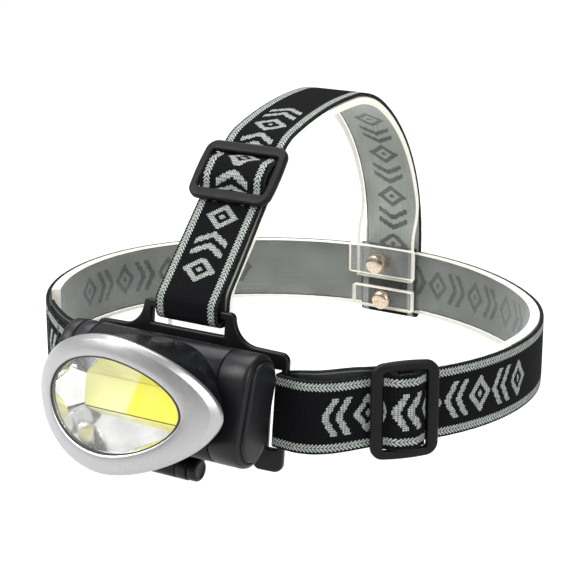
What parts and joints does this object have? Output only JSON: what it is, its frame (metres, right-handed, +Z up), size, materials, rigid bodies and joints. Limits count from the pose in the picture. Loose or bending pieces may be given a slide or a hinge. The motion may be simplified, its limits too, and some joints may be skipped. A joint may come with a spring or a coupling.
{
  "type": "headlamp",
  "caption": "Tilting headlamp with an eye-shaped lens and side battery tube on an elastic headband with a crown strap and sliding adjusters.",
  "frame": {"origin": "centre of the head opening, half way up the headband", "axes": "+Z up through the head opening, -Y the way the wearer looks, +X to the wearer's left, where the headband slider and the battery cap are"},
  "size_m": [0.1908, 0.2067, 0.1143],
  "materials": {
    "silver_paint": "satin",
    "black_plastic": "satin",
    "slider_plastic": "satin",
    "webbing": "matte",
    "foam": "matte",
    "clear_plastic": "gloss",
    "clear_lens": "gloss",
    "mirror_coat": "polished",
    "phosphor": "satin",
    "board_metal": "satin",
    "circuit": "satin",
    "brass_nickel": "satin",
    "steel": "satin",
    "rubber_black": "matte",
    "rubber_red": "matte",
    "cell_jacket": "gloss",
    "wire_jacket": "matte"
  },
  "bodies": {
    "band": {"bracket": "black_plastic", "forehead_pad": "foam", "headband": "webbing", "headband_ends": "webbing", "crown_strap": "webbing", "headband_former": "clear_plastic", "crown_former": "clear_plastic", "rear_plate": "clear_plastic", "upper_clamp": "clear_plastic", "lower_clamp": "clear_plastic", "upper_post": "brass_nickel", "lower_screw": "brass_nickel", "clamp_nuts": "brass_nickel", "hinge_pin": "black_plastic", "hinge_clip": "steel"},
    "lamp_head": {"battery_tube": "black_plastic", "left_collar": "black_plastic", "left_cap": "black_plastic", "cap_seal": "rubber_red", "tube_contacts": "steel", "cell_upper": "cell_jacket", "cell_middle": "cell_jacket", "cell_lower": "cell_jacket", "battery_tray": "black_plastic", "front_housing": "black_plastic", "housing_screws": "steel", "circuit_board": "circuit", "switch": "steel", "lead_wires": "wire_jacket", "led_board": "board_metal", "led_phosphor": "phosphor", "reflector": "mirror_coat", "lens": "clear_lens", "lens_gasket": "rubber_black", "front_bezel": "silver_paint"},
    "cap": {"battery_cap": "black_plastic", "contact_carrier": "black_plastic", "cap_contacts": "steel"},
    "button": {"push_button": "rubber_black"},
    "band_adjuster": {"headband_slider": "slider_plastic", "headband_loop": "webbing"},
    "crown_adjuster": {"crown_slider": "slider_plastic", "crown_loop": "webbing"}
  },
  "joints": [
    {"name": "head_tilt", "type": "hinge", "parent": "band", "child": "lamp_head", "pos_m": [0, -0.088, -0.0239], "axis": [1, 0, 0], "range_deg": [0, 60]},
    {"name": "cap_pull", "type": "slide", "parent": "lamp_head", "child": "cap", "axis": [1, 0, 0], "range_m": [0, 0.028]},
    {"name": "button_press", "type": "slide", "parent": "lamp_head", "child": "button", "axis": [0, -0.1616, -0.9869], "range_m": [0, 0.0008], "stiffness_N_per_m": 400},
    {"name": "band_adjust", "type": "hinge", "parent": "band", "child": "band_adjuster", "pos_m": [0.0172, -0.00318, 0], "axis": [0, 0, 1], "range_deg": [-10, 20]},
    {"name": "crown_adjust", "type": "slide", "parent": "band", "child": "crown_adjuster", "axis": [0, 0.6947, 0.7193], "range_m": [-0.02, 0]}
  ]
}
